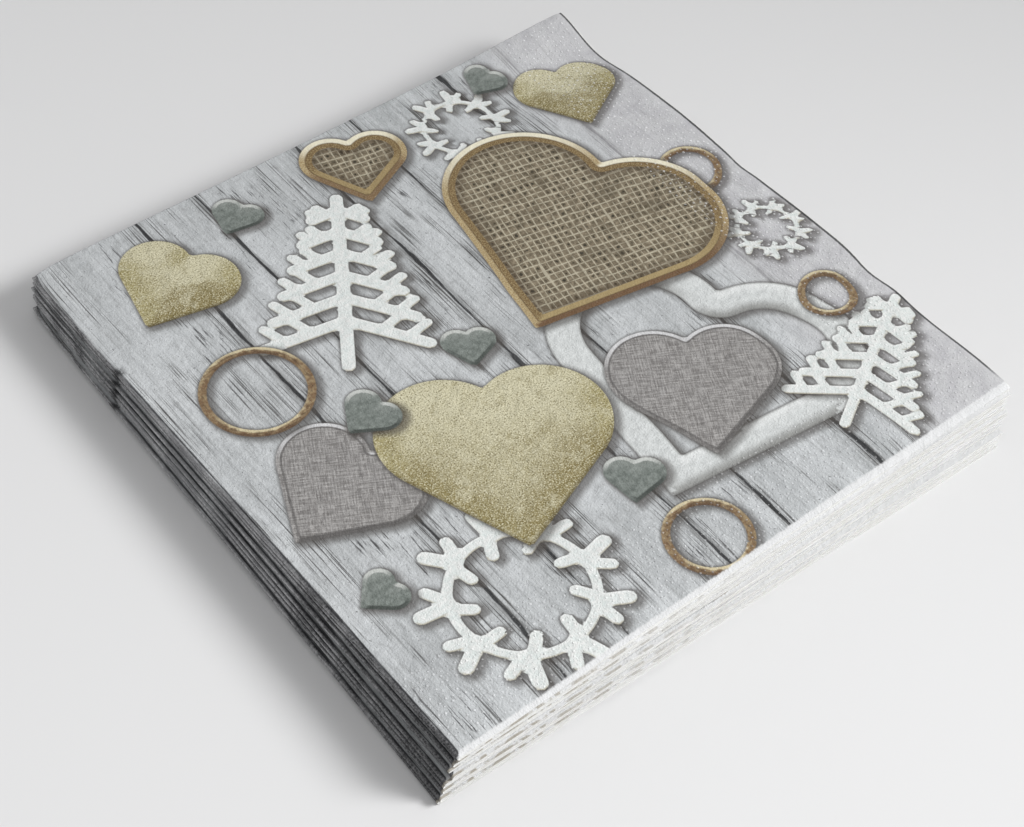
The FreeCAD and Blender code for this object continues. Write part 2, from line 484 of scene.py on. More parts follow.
def lay(points, node):
    """Folded places of one napkin, laid in the stack, in millimetres of the frame."""
    number = NAPKINS.index(node)
    middle_x, middle_y, turn, _ = PLACES[node]
    step = points[:, 2] / LEAF_PITCH
    at_x, at_y = turned(*wavered(points[:, 0], points[:, 1], step, node), turn)
    at_x, at_y = at_x + middle_x, at_y + middle_y
    own_x, own_y = turned(at_x - TOP_X, at_y - TOP_Y, -TOP_TURN)
    height = stack_height(own_x, own_y)
    frontness, rightness = np.clip(0.5 - own_y / SIDE, 0, 1), np.clip(0.5 + own_x / SIDE, 0, 1)
    step = step * (1 - FRONT_SQUEEZE * frontness * np.clip(0.75 - own_x / SIDE, 0, 1))
    air = np.clip(1 - SHEET_THICK * LEAVES / height, 0, 1) * GAP_USED
    loose = 0.25 + 0.75 * frontness * (0.4 + 0.6 * rightness)
    step = step + air * loose * drift(400, 14, own_x, own_y, step + 4 * number)
    share = (4 * number + 2 + step) / LEAVES
    z = share * (height + sunk(own_x, own_y)) + share ** 3 * lifted(own_x, own_y)
    return np.stack([at_x, at_y, z], 1)


middle_of_top = lay(np.array([[0.0, 0.0, OUTER_BEND]]), TOP)[0]
print("the middle of the top leaf lies at", middle_of_top.round(2), "mm")

# %% [markdown]
# ## The printed picture, as distances
# The print is a made-up winter pattern: hearts in woven wire, gold glitter, linen and dull metal, rings of
# gilt wood, and fir trees and wreaths cut from white card, all lying on whitewashed boards. Each motif is
# a formula that gives a point's distance from its outline, negative inside. Kept on the mesh as a number
# at each point, the distance stays sharp between the points, as letters on a road map do, because the
# material cuts it at zero. An image would blur, and drawing each motif with nodes would be slow.

# %% Shapes as distances
UPRIGHT = 45.0


def own_axes(a, b, place, turn):
    """Coordinates in a motif's own axes, x to its right and y to its top, when its top is turned."""
    angle = math.radians(turn + UPRIGHT)
    over, along = a - place[0], b - place[1]
    return (
        over * math.cos(angle) + along * math.sin(angle),
        over * math.sin(angle) - along * math.cos(angle),
    )


def stroke(x, y, start, end, radius):
    """Distance to a thick line with round ends."""
    run = np.subtract(end, start)
    share = np.clip(((x - start[0]) * run[0] + (y - start[1]) * run[1]) / (run @ run), 0, 1)
    return np.hypot(x - start[0] - share * run[0], y - start[1] - share * run[1]) - radius


def heart(x, y, size):
    """A heart as high as size, with its middle at the origin."""
    x, y = np.abs(x) / size, y / size + 0.5
    lobe = np.hypot(x - 0.25, y - 0.75) - math.sqrt(2) / 4
    along = np.clip(x + y, 0, None) / 2
    side = np.minimum(np.hypot(x, y - 1), np.hypot(x - along, y - along)) * np.sign(x - y)
    return np.where(x + y > 1, lobe, side) * size


def ring(x, y, size):
    return np.abs(np.hypot(x, y) - size / 2 + 1.0) - 1.0


print(f"the middle of a heart 40 mm high is {-float(heart(0.0, 0.0, 40.0)):.1f} mm from its outline")

# %% [markdown]
# ## Motifs made of strokes
# A fir tree and a wreath are many strokes with round ends, like shapes cut from card with a small router.
# The distance to all of them is the least of the distances to each. The wreath's sprigs are one sprig
# drawn once, because the plane is folded nine times around its middle first.


# %% A fir tree and a wreath
def fir(x, y, size):
    """A fir tree as high as size: a stem with pairs of branches that grow towards its foot."""
    x = np.abs(x)
    found = stroke(x, y, (0, -0.5 * size), (0, 0.46 * size), 0.028 * size)
    for share in np.arange(6) * 0.15 + 0.06:
        start = (0, (0.44 - share * 0.86) * size)
        end = ((0.09 + 0.30 * share) * size, start[1] - (0.05 + 0.11 * share) * size)
        found = np.minimum(found, stroke(x, y, start, end, 0.029 * size))
        for twig in (0.42, 0.74):
            at = (end[0] * twig, start[1] + (end[1] - start[1]) * twig)
            short = 0.082 * size * (1.15 - 0.5 * twig) * (0.5 + share)
            found = np.minimum(found, stroke(x, y, at, (at[0] + short, at[1] + 0.9 * short), 0.023 * size))
    return found


def wreath(x, y, size):
    """A round wreath: a hoop with nine sprigs, each of two outer leaves and one inner leaf."""
    found = np.abs(np.hypot(x, y) - 0.31 * size) - 0.022 * size
    sector = math.pi / 9
    angle = (np.arctan2(y, x) + sector) % (2 * sector) - sector
    x, y = np.hypot(x, y) * np.cos(angle), np.hypot(x, y) * np.sin(angle)
    leaves = (
        ((0.31, 0.00), (0.435, 0.035), 0.034), ((0.31, -0.02), (0.395, -0.080), 0.028),
        ((0.31, 0.02), (0.215, 0.040), 0.028),
    )
    for start, end, radius in leaves:
        leaf = stroke(x, y, np.multiply(start, size), np.multiply(end, size), radius * size)
        found = np.minimum(found, leaf)
    return found


print(f"the middle of a wreath of size 40 is {float(wreath(0.0, 0.0, 40.0)):.1f} mm from its nearest leaf")

# %% [markdown]
# ## The layout of the print
# Places are counted on one quarter of the sheet, a from the side fold and b from the back fold, and every
# quarter of a napkin carries the same picture. The list runs from the lowest layer to the highest.

# %% Motifs by finish, lowest layer first
MOTIFS = {
    "relief": [(heart, (104, 122), 64, 6)],
    "card": [
        (fir, (60, 44), 58, -12), (wreath, (36, 142), 52, 0), (fir, (145, 139), 46, 16),
        (wreath, (116, 19), 31, 8), (wreath, (154, 93), 24, 0),
    ],
    "linen": [(heart, (104, 124), 35, -16), (heart, (19, 97), 30, 24)],
    "hoop": [
        (ring, (23, 62), 27, 0), (ring, (78, 155), 21, 0), (ring, (151, 118), 15, 0),
        (ring, (153, 66), 17, 0),
    ],
    "gold": [(heart, (55, 113), 46, -20), (heart, (24, 24), 25, 12), (heart, (147, 27), 23, -28)],
    "wire": [(heart, (111, 68), 60, 10), (heart, (85, 17), 23, -24)],
    "metal": [
        (heart, (50, 13), 11, 10), (heart, (70, 81), 11, -18), (heart, (38, 83), 12, 30),
        (heart, (75, 134), 12, -6), (heart, (131, 9), 10, 16), (heart, (11, 124), 10, 40),
    ],
}
print("the print has", sum(len(m) for m in MOTIFS.values()), "motifs in", len(MOTIFS), "finishes")

# %% [markdown]
# ## The numbers that a point carries
# Each finish needs three things at a point: how far the point is from the outline, how far it is from the
# same outline moved by the shade's fall, and whether the outline there faces the painted light. The last
# is the slope of the distance, measured by moving the point a little. The plaster heart is a hollow rail,
# so its distance is counted from the middle of the rail.

# %% Distances, shades and facing
SHADE_FALLS = (0.5, 1.1)
PRINT_LIGHT = (0.35, -0.94)
RAIL = 4.2
NUDGE = 0.35
FAR_OFF = 99.0


def layer_distance(layer, a, b):
    found = np.full(np.shape(a), FAR_OFF)
    for shape, place, size, turn in MOTIFS[layer]:
        found = np.minimum(found, shape(*own_axes(a, b, place, turn), size))
    return found


def facing_light(layer, a, b):
    """How far a layer's outline faces the painted light: 1 towards it, -1 away from it."""
    along_a = layer_distance(layer, a + NUDGE, b) - layer_distance(layer, a - NUDGE, b)
    along_b = layer_distance(layer, a, b + NUDGE) - layer_distance(layer, a, b - NUDGE)
    return (PRINT_LIGHT[0] * along_a + PRINT_LIGHT[1] * along_b) / (2 * NUDGE)


def print_fields(u, v):
    """What the print's material needs at each point: for each layer its distance and its shade's."""
    a, b = np.abs(u), np.abs(v)
    fields, facing = {}, np.zeros(len(a))
    for layer in MOTIFS:
        edge = layer_distance(layer, a, b)
        shade = layer_distance(layer, a - SHADE_FALLS[0], b - SHADE_FALLS[1])
        lean = facing_light(layer, a, b)
        if layer == "relief":
            lean = lean * np.sign(edge + RAIL)
            edge, shade = (np.abs(distance + RAIL) - RAIL for distance in (edge, shade))
        fields[layer], fields[layer + "_shade"] = edge, shade
        facing = np.where(edge < 0.8, lean, facing)
    fields["facing"] = facing
    return fields


print("each point carries", len(print_fields(np.zeros(1), np.zeros(1))), "numbers for the motifs")

# %% [markdown]
# ## The printed side
# The real print is ink on soft embossed tissue, so everything on it is matt, gold and wire included, and
# its light and shade are painted. The material paints the boards first: pale planks that run from back to
# front, with dark seams, streaks of grain and worn patches. Then each layer of motifs goes on, first its
# soft shade and then its finish. Near the cut edges the ink thins out to the white paper, and at the side
# fold a dark seam of the boards runs along the crease, which makes the folded edges dark.


# %% Painting the boards
PLANK = 23.5
WHITEWASH = ((0.405, 0.422, 0.430), (0.570, 0.590, 0.602))


def random_of(number):
    """A random value between 0 and 1 for each whole number."""
    node = number.tree.nodes.new("ShaderNodeTexWhiteNoise")
    node.noise_dimensions = "1D"
    plug(number.tree, number, node.inputs["W"])
    return Wire(number.tree, node.outputs["Value"])


def along_grain(a, b, across, along, shift=0.0, detail=3.0, rough=0.65):
    """Noise in streaks that run with the planks: across and along are its scales in 1/mm."""
    return noise(joined(a.tree, a * across + shift, b * along), detail=detail, rough=rough)


def boards(tree, a, b):
    """The whitewashed planks."""
    bend = along_grain(a, b, 0.03, 0.013, detail=1.0)
    phase = (a + bend * 3.0) / PLANK + (a * 0.13 + 0.8).math("SINE") * 0.17 - 0.17
    gap = (phase.math("FRACT") - 0.5).size().less_from(0.5) * PLANK
    shift = random_of(phase.math("FLOOR")) * 40.0

    paint = blend(along_grain(a, b, 0.10, 0.030, shift).rise(0.32, 0.68), *WHITEWASH)
    paint = blend(random_of(phase.math("FLOOR") + 7.0) * 0.35, paint, (0.500, 0.512, 0.520))
    ridges = along_grain(a, b, 1.3, 0.045, shift + 3.0, 2.0, 0.75)
    paint = blend(ridges.rise(0.52, 0.74) * 0.45, paint, (0.640, 0.660, 0.665))
    paint = blend(ridges.rise(0.48, 0.30) * 0.40, paint, (0.250, 0.254, 0.252))
    blotch = along_grain(a, b, 0.9, 0.45, shift + 31.0, 2.0, 0.8)
    paint = blend(blotch.rise(0.54, 0.72) * 0.40, paint, (0.660, 0.685, 0.695))
    paint = blend(blotch.rise(0.46, 0.30) * 0.34, paint, (0.260, 0.262, 0.262))

    wear_and_highlight = along_grain(a, b, 0.075, 0.022, shift + 5.0, 2.0) + gap.rise(5.0, 0.6) * 0.12
    hairs = along_grain(a, b, 2.5, 0.040, shift + 11.0, 2.0).rise(0.50, 0.64)
    paint = blend(hairs * wear_and_highlight.rise(0.50, 0.59) * 0.90, paint, (0.055, 0.054, 0.052))
    dashes = along_grain(a, b, 1.9, 0.11, shift + 17.0, 2.0).rise(0.56, 0.66)
    chipped = along_grain(a, b, 0.060, 0.028, shift + 23.0, 2.0).rise(0.56, 0.62)
    paint = blend(dashes * chipped * 0.88, paint, (0.045, 0.045, 0.047))
    specks = noise(joined(tree, a * 0.95, b * 0.95, 4.0), detail=2.0, rough=0.8).rise(0.665, 0.715)
    paint = blend(specks * 0.75, paint, (0.070, 0.072, 0.074))

    width = along_grain(a, b, 0.01, 0.036, shift, 3.0, 0.7).rise(0.38, 0.70)
    smudge = along_grain(a, b, 1.0, 0.07, 2.0, 1.0, 0.7).rise(0.35, 0.65)
    paint = blend(gap.rise(2.2, 0.2) * smudge * 0.65, paint, (0.085, 0.083, 0.080))
    torn = along_grain(a, b, 1.5, 0.20, 6.0, 2.0, 0.7) * 0.5
    line = (gap - width * 0.75 + torn).rise(0.56, 0.24)
    return blend(line * 0.94, paint, (0.020, 0.021, 0.023))


print(f"planks {PLANK} mm wide, about {SIDE / PLANK:.0f} of them on a quarter of the sheet")

# %% [markdown]
# ## The finishes of the motifs
# Each finish has its own short recipe, from its ground colour to its highlights. They all take the same
# things: the place on the sheet, the distance from the outline, how far that outline faces the painted
# light or turns away from it, and two grains, one coarse and one fine. That a recipe leaves some of them
# unused is the price for calling all of them in one loop.


# %% Painting plaster, card and linen
def turned_grid(a, b, angle):
    """Coordinates along the two threads of a weave that is turned by angle."""
    cos, sin = math.cos(angle), math.sin(angle)
    return a * cos + b * sin, b * cos - a * sin


def paint_relief(a, b, edge, lit, dim, grain, grit):
    """A thick round rail of white plaster in the shape of a heart."""
    look = blend(grain.rise(0.3, 0.7), (0.560, 0.580, 0.575), (0.660, 0.680, 0.675))
    look = blend(edge.rise(-3.4, -0.8) * lit * 0.8, look, (0.740, 0.755, 0.750))
    look = blend(edge.rise(-3.6, -0.5) * dim * 0.85, look, (0.235, 0.235, 0.225))
    return blend(edge.rise(-0.6, -0.1) * 0.45, look, (0.120, 0.118, 0.110))


def paint_card(a, b, edge, lit, dim, grain, grit):
    """White card with a bevelled edge, warm where it turns away from the light."""
    look = blend(grain.rise(0.3, 0.75), (0.655, 0.700, 0.685), (0.765, 0.765, 0.750))
    look = blend(edge.rise(-0.7, -0.2) * lit * 0.7, look, (0.830, 0.840, 0.830))
    return blend(edge.rise(-0.55, -0.05) * dim * 0.8, look, (0.380, 0.340, 0.240))


def paint_linen(a, b, edge, lit, dim, grain, grit):
    """Grey linen in a thin bevelled rim."""
    one, two = turned_grid(a, b, 0.5)
    warp, weft = along_grain(one, two, 2.8, 0.22), along_grain(two, one, 2.8, 0.22, 5.0)
    look = blend((warp + weft).rise(0.80, 1.22), (0.175, 0.166, 0.160), (0.400, 0.388, 0.378))
    look = blend(grain.rise(0.42, 0.72) * 0.6, look, (0.230, 0.222, 0.218))
    rim = edge.rise(-1.05, -0.85)
    look = blend(rim * lit * 0.9, look, (0.660, 0.660, 0.670))
    look = blend(rim * dim * 0.85, look, (0.085, 0.080, 0.078))
    return blend((edge + 1.1).size().rise(0.40, 0.12) * 0.6, look, (0.070, 0.066, 0.064))


print("three pale or grey finishes: plaster, card and linen")

# %% [markdown]
# ## Gilt, glitter, wire and metal
# These would shine as real things, but here they are printed, so their highlights are painted too: a lit
# rim towards the light, a dim one away from it, and grit for the glitter. The wire is two waves that cross,
# each bent a little by noise, because a woven mesh is never quite straight.


# %% Painting the metals
def paint_hoop(a, b, edge, lit, dim, grain, grit):
    """A hoop of gilt wood."""
    look = blend(grain.rise(0.35, 0.7), (0.175, 0.105, 0.055), (0.320, 0.240, 0.135))
    look = blend(lit * 0.9, look, (0.640, 0.560, 0.370))
    look = blend(dim * 0.7, look, (0.080, 0.042, 0.024))
    return blend((edge + 0.9).size().rise(0.34, 0.10) * 0.5, look, (0.070, 0.045, 0.025))


def paint_gold(a, b, edge, lit, dim, grain, grit):
    """Glitter on a padded shape: its ridges are light and its edges olive."""
    look = blend(edge.rise(-9.0, -0.5), (0.490, 0.455, 0.300), (0.360, 0.315, 0.150))
    slope = edge.rise(-14.0, -3.0) * 0.75 + 0.25
    look = blend(lit * slope * 0.70, look, (0.660, 0.630, 0.460))
    look = blend(dim * slope * 0.85, look, (0.205, 0.160, 0.055))
    look = blend(grain.rise(0.45, 0.72) * 0.45, look, (0.560, 0.530, 0.380))
    look = blend(grain.rise(0.48, 0.25) * 0.50, look, (0.215, 0.180, 0.080))
    cloud = along_grain(a, b, 0.17, 0.17, 21.0)
    look = blend(cloud.rise(0.52, 0.66) * 0.45, look, (0.600, 0.570, 0.410))
    look = blend(cloud.rise(0.46, 0.32) * 0.45, look, (0.230, 0.190, 0.075))
    look = blend(grit.rise(0.52, 0.70) * 0.80, look, (0.780, 0.740, 0.545))
    look = blend(grit.rise(0.48, 0.30) * 0.80, look, (0.110, 0.085, 0.032))
    return blend(edge.rise(-1.1, -0.1) * dim * 0.75, look, (0.075, 0.055, 0.020))


def paint_wire(a, b, edge, lit, dim, grain, grit):
    """Woven wire over a dark ground, in a gilt frame of two facets."""
    one, two = turned_grid(a, b, 0.2)
    warp = ((one + along_grain(one, two, 0.20, 0.03) * 3.2) * (2 * math.pi / 1.75)).math("SINE")
    weft = ((two + along_grain(two, one, 0.20, 0.03, 9.0) * 3.2) * (2 * math.pi / 2.05)).math("SINE")
    patch = along_grain(one, two, 0.42, 0.42, detail=2.0)
    look = blend(grain.rise(0.3, 0.72), (0.110, 0.088, 0.055), (0.280, 0.232, 0.160))
    look = blend((warp + weft).rise(-0.7, -1.6) * patch.rise(0.46, 0.62) * 0.9, look, (0.022, 0.020, 0.012))
    threads = warp.rise(0.70, 0.96).math("MAXIMUM", weft.rise(0.72, 0.97))
    look = blend(threads * patch.rise(0.20, 0.55) * 0.80, look, (0.520, 0.475, 0.360))
    cloud = along_grain(one, two, 0.11, 0.11, 15.0)
    look = blend(cloud.rise(0.54, 0.66) * 0.42, look, (0.070, 0.055, 0.032))
    look = blend(edge.rise(-6.5, -3.6) * 0.55, look, (0.065, 0.042, 0.022))
    inner = blend(grit.rise(0.35, 0.7), (0.150, 0.092, 0.040), (0.330, 0.250, 0.120))
    inner = blend(dim * 0.7, inner, (0.420, 0.325, 0.160))
    outer = blend(grit.rise(0.35, 0.7), (0.330, 0.235, 0.115), (0.530, 0.440, 0.260))
    outer = blend(lit * 0.92, outer, (0.840, 0.800, 0.640))
    outer = blend(dim * 0.88, outer, (0.120, 0.058, 0.028))
    frame_paint = blend(edge.rise(-1.75, -1.45), inner, outer)
    look = blend(edge.rise(-3.4, -3.2), look, frame_paint)
    return blend((edge + 1.6).size().rise(0.30, 0.08) * 0.45, look, (0.085, 0.050, 0.022))


def paint_metal(a, b, edge, lit, dim, grain, grit):
    """Dull grey-green metal with a raised lip."""
    look = blend(grain.rise(0.3, 0.7), (0.130, 0.150, 0.136), (0.225, 0.250, 0.232))
    look = blend(lit * edge.rise(-4.5, -1.0) * 0.35, look, (0.330, 0.350, 0.330))
    lip = edge.rise(-1.15, -0.75)
    look = blend(lip * lit * 0.9, look, (0.560, 0.575, 0.550))
    return blend(lip * dim * 0.85, look, (0.040, 0.048, 0.043))


PAINTS = {
    "relief": paint_relief, "card": paint_card, "linen": paint_linen, "hoop": paint_hoop,
    "gold": paint_gold, "wire": paint_wire, "metal": paint_metal,
}
print("finishes with a recipe:", ", ".join(PAINTS))

# %% [markdown]
# ## What all materials share
# Paper is matt, whatever is printed on it. So a material here is one shader with a colour, a roughness and
# a weak shine, and paper also gets a bump for the fibres, which are too fine to be worth faces. The bump's
# height is one more formula.


# %% Materials in general
def attribute(tree, name):
    node = tree.nodes.new("ShaderNodeAttribute")
    node.attribute_name = name
    return Wire(tree, node.outputs["Fac"])


def new_material(name, colour, roughness, specular):
    material = bpy.data.materials.new(name)
    material.use_nodes = True
    material.diffuse_color = (*colour, 1.0)
    shader = next(n for n in material.node_tree.nodes if n.type == "BSDF_PRINCIPLED")
    shader.inputs["Base Color"].default_value = (*colour, 1.0)
    shader.inputs["Roughness"].default_value = roughness
    shader.inputs["Specular IOR Level"].default_value = specular
    return material, material.node_tree, shader


def tissue_bump(tree, shader, height, distance):
    node = tree.nodes.new("ShaderNodeBump")
    node.inputs["Strength"].default_value = 1.0
    node.inputs["Distance"].default_value = distance
    plug(tree, height, node.inputs["Height"])
    tree.links.new(node.outputs[0], shader.inputs["Normal"])


print("a material starts with a colour, a roughness and a shine")

# %% [markdown]
# ## The dark fold
# On the real stack the folded side is nearly black, with lighter crests, because a seam of the painted
# boards happens to run along the side fold. It is painted as soot that ends in a ragged line, and a knot
# where the seam breaks. Over it go a painted highlight on the crest of the fold, lighter in patches and
# partly wear of the ink, and painted shade in a dark line just past the bend, in the crevice where one fold
# meets the next.


# %% The seam along the side fold
def side_fold(tree, colour, at, a, b):
    """The boards' dark seam along the side fold, with a painted highlight on its crest and painted shade
    beside it.
    """
    ragged = along_grain(a, b, 0.45, 0.10)
    speck = noise(at, 1.7, 3.0, 0.8)
    soot = blend(speck.rise(0.36, 0.64), (0.018, 0.018, 0.020), (0.180, 0.180, 0.186))
    soot = blend(b.rise(125, 60) * b.rise(36, 48) * 0.80, soot, (0.260, 0.260, 0.270))
    reach = a + ragged * 1.5 - b.rise(70, 150) * 0.35
    colour = blend(reach.rise(1.75, 1.25) * 0.92, colour, soot)
    # Painted highlight: the crest of the fold is lighter in patches, partly wear of the ink.
    wear_and_highlight = along_grain(a, b, 1.6, 0.10, 4.0, 3.0, 0.7).rise(0.34, 0.58) * b.rise(175, 110)
    crest = blend(speck.rise(0.3, 0.6), (0.190, 0.190, 0.190), (0.560, 0.560, 0.570))
    colour = blend(wear_and_highlight * a.rise(0.66, 0.28) * 0.85, colour, crest)
    # Painted shade: a dark line just past the bend, in the crevice where one fold meets the next.
    crevice_shade = ((a - 1.00).size() + ragged * 0.5).rise(0.66, 0.34) * b.rise(28, 48)
    colour = blend(crevice_shade * 0.88, colour, (0.010, 0.010, 0.012))
    knot = (b - 40.0 + ragged * 3.0).size().rise(2.0, 0.5) * a.rise(3.4, 0.6) * speck.rise(0.35, 0.5)
    return blend(knot * 0.85, colour, (0.010, 0.010, 0.011))


print("the side fold has soot, a worn crest, a crack and a knot")

# %% [markdown]
# ## The material of the printed side
# One material prints the whole sheet, in the order of a painter: boards, the pale border, the motifs, the
# glints on the raised dots, the dark fold with its painted highlight and shade, the white margin where the
# ink stops, and a painted shade along the front cut edge where two napkins meet. It reads the sheet's own
# coordinates from the UV map and the distances from the mesh, so it holds on to the paper when the paper is
# folded. A texture on Object coordinates would run straight through the stack.

# %% The printed tissue
BORDER = 24.0


def printed_side():
    material, tree, shader = new_material("printed_tissue", (0.45, 0.46, 0.46), 0.82, 0.25)
    sheet = tree.nodes.new("ShaderNodeUVMap")
    sheet.uv_map = "sheet"
    parts = tree.nodes.new("ShaderNodeSeparateXYZ")
    tree.links.new(sheet.outputs[0], parts.inputs[0])
    at = Wire(tree, sheet.outputs[0])
    a, b = (Wire(tree, parts.outputs[k]).size() for k in (0, 1))

    colour = boards(tree, a, b)
    border = noise(joined(tree, a * 0.02, b * 0.035), detail=2.0) * 16.0 + a
    plain = border.rise(SIDE - BORDER - 6, SIDE - BORDER + 16) * 0.84
    veil = blend(noise(at, 0.16, 3.0, 0.6).rise(0.3, 0.7), (0.485, 0.480, 0.500), (0.580, 0.580, 0.590))
    colour = blend(plain, colour, veil)

    facing = attribute(tree, "facing")
    lit, dim = facing.rise(0.15, 0.95), facing.rise(-0.15, -0.95)
    grit = noise(at, 2.6, 1.0, 0.75)
    grain = noise(at, 0.7, 3.0, 0.68)
    for layer, paint in PAINTS.items():
        edge, shade = attribute(tree, layer), attribute(tree, layer + "_shade")
        colour = blend(shade.rise(2.1, -0.2) * 0.72, colour, (0.070, 0.062, 0.056))
        colour = blend(edge.rise(0.75, 0.05) * 0.45, colour, (0.050, 0.043, 0.038))
        colour = blend(edge.rise(0.14, -0.14), colour, paint(a, b, edge, lit, dim, grain, grit))

    colour = blend(grit.rise(0.40, 0.70) * 0.12, colour, (0.220, 0.215, 0.200))
    patch = noise(joined(tree, a * 0.6, b * 0.6, 3.0), detail=1.0).rise(0.38, 0.62)
    glint = patch * (a.rise(40, 150) * b.rise(160, 60) * 0.26 + 0.12)
    colour = blend(attribute(tree, "dot") * (glint + 0.10), colour, (0.900, 0.905, 0.915))
    colour = side_fold(tree, colour, at, a, b)
    ragged = noise(at, 1.2, 3.0, 0.7)
    margin = b + ragged * 0.9 - a.rise(1.6, 0.4) * 0.8 + a.rise(50, 165) * 0.8
    thin_ink = margin.rise(REACH_V - 1.05, REACH_V - 0.45)
    colour = blend(thin_ink, colour, (0.675, 0.680, 0.685))
    # Painted shade: a thin brownish line at the front cut edge of every napkin but the top one, where it
    # meets the next napkin, strongest near the side fold and broken up by noise.
    layer_gap_shade = (b + ragged * 0.3).rise(REACH_V - 0.55, REACH_V - 0.30)
    layer_gap_shade = layer_gap_shade * attribute(tree, "white_rim").less_from(1.0)
    broken = noise(at, 0.5, 3.0).rise(0.40, 0.60) * a.rise(110, 10)
    colour = blend(layer_gap_shade * broken * 0.75, colour, (0.300, 0.265, 0.205))
    far_line = (a + ragged * 0.35).rise(REACH_U - 0.60, REACH_U - 0.30)
    far_line = far_line * b.rise(REACH_V - 1.5, REACH_V - 9)
    colour = blend(far_line * 0.90, colour, (0.040, 0.040, 0.042))

    plug(tree, colour, shader.inputs["Base Color"])
    fibres = noise(at, 1.9, 2.0, 0.65) + noise(at, 0.35, 1.0) * 1.6
    tissue_bump(tree, shader, fibres, 0.00022)
    return material


PRINT = printed_side()
print("the print's material has", len(PRINT.node_tree.nodes), "nodes")

# %% [markdown]
# ## The plain side and the cut edges
# Inside the folds and at the cut edges the tissue is white. The plies there are soft, and the guillotine
# leaves them fluffy, so the edge gets a streaky bump along the leaf and the flat side a fine fibrous one.
# Where the bump is low, the paper is painted darker and a little yellowish, a painted shade in the hollows.


# %% White paper
def object_place(tree):
    return Wire(tree, tree.nodes.new("ShaderNodeTexCoord").outputs["Object"])


def plain_side():
    material, tree, shader = new_material("plain_tissue", (0.80, 0.80, 0.79), 0.9, 0.2)
    soft = noise(object_place(tree), 900.0, 3.0, 0.6)
    # Painted shade: where the fibre bump is low the paper is painted darker and a little yellowish.
    colour = blend(soft.rise(0.3, 0.7), (0.670, 0.670, 0.648), (0.728, 0.728, 0.720))
    plug(tree, colour, shader.inputs["Base Color"])
    tissue_bump(tree, shader, soft, 0.00012)
    return material


def cut_edge():
    material, tree, shader = new_material("cut_tissue", (0.84, 0.84, 0.83), 0.95, 0.1)
    at = object_place(tree)
    fluff = noise(at, 700.0, 3.0, 0.7)
    streak = noise(at, 140.0, 3.0, 0.6)
    colour = blend(streak.rise(0.35, 0.65), (0.667, 0.665, 0.636), (0.720, 0.720, 0.712))
    # Painted shade: the hollows of the fluffy bump are painted darker and yellower.
    colour = blend(fluff.rise(0.40, 0.20) * 0.35, colour, (0.573, 0.569, 0.546))
    plug(tree, colour, shader.inputs["Base Color"])
    tissue_bump(tree, shader, fluff, 0.0002)
    return material


PLAIN, CUT = plain_side(), cut_edge()
print("white paper:", PLAIN.name, "and", CUT.name)

# %% [markdown]
# ## What the mesh carries
# The sheet's own coordinates go onto the mesh as a UV map before it is folded, so the print follows the
# paper round every fold, as ink does. The distances of the print go on beside them as numbers. A second
# map is for textures: it gives most of its square to the leaf that shows, because a hidden leaf needs
# hardly any.

# %% Maps and numbers
SHOWN_FROM = (0.19, 0.2)
SHOWN_TO = (0.95, 1.0)
STRIP_MIDDLE, STRIP_HALF = 0.9775, 0.0225


def add_print_data(mesh, dot=0.0, white_rim=1.0):
    """The sheet's coordinates as a UV map, and the print's fields as numbers at the points."""
    flat = read(mesh.vertices, "co", 3)[:, :2]
    corner = read(mesh.loops, "vertex_index", kind=int)
    mesh.uv_layers.new(name="sheet").uv.foreach_set("vector", flat[corner].ravel().astype(np.float32))
    fields = print_fields(*flat.T)
    fields["dot"] = np.full(len(flat), dot)
    fields["white_rim"] = np.full(len(flat), white_rim)
    for name, values in fields.items():
        mesh.attributes.new(name, "FLOAT", "POINT").data.foreach_set("value", values.astype(np.float32))


def sheet_places(mesh):
    """The sheet's own u and v at each corner of each face."""
    return read(mesh.uv_layers["sheet"].uv, "vector", 2, np.float32).T


def add_bake_map(mesh, printed_way_up):
    """A second map for textures: most of its square is the leaf that shows, the plain side is a strip."""
    u, v = sheet_places(mesh)
    side = read(mesh.polygons, "material_index", kind=int)
    plain = np.repeat(side > 0, read(mesh.polygons, "loop_total", kind=int))
    across, along = u / REACH_U * printed_way_up, v / REACH_V
    shown = [np.interp(share, (-1, 0, 1), (0, low, high))
             for share, low, high in zip((across, along), SHOWN_FROM, SHOWN_TO)]
    place = np.stack(shown, 1)
    place[plain] = np.stack([STRIP_MIDDLE + STRIP_HALF * across[plain], 0.5 + 0.5 * along[plain]], 1)
    mesh.uv_layers.new(name="OFBake").uv.foreach_set("vector", place.ravel().astype(np.float32))


shown_share = (SHOWN_TO[0] - SHOWN_FROM[0]) * (SHOWN_TO[1] - SHOWN_FROM[1])
print(f"the leaf that shows takes {shown_share:.0%} of the map")

# %% [markdown]
# ## The thickness of the paper
# A Solidify gives the laid sheet its thickness, with white paper on the back and cut paper on the rim. A
# vertex group makes the rim thicker, because a cut edge of tissue puffs up where nothing presses on it.

# %% Thickness
PUFF_WEIGHTS = ((0, 0.7, 3.6), (1, 0.9, 0))


def puff_weights(mesh):
    """How much each point puffs up: near a cut edge, and more towards the free corner."""
    u, v = sheet_places(mesh)
    corner = read(mesh.loops, "vertex_index", kind=int)
    inward, openness = np.zeros(len(mesh.vertices)), np.zeros(len(mesh.vertices))
    inward[corner] = np.minimum(REACH_U - abs(u), REACH_V - abs(v))
    openness[corner] = abs(u * v) / (REACH_U * REACH_V)
    return np.interp(inward, *PUFF_WEIGHTS) * (0.15 + 0.75 * openness ** 0.7)


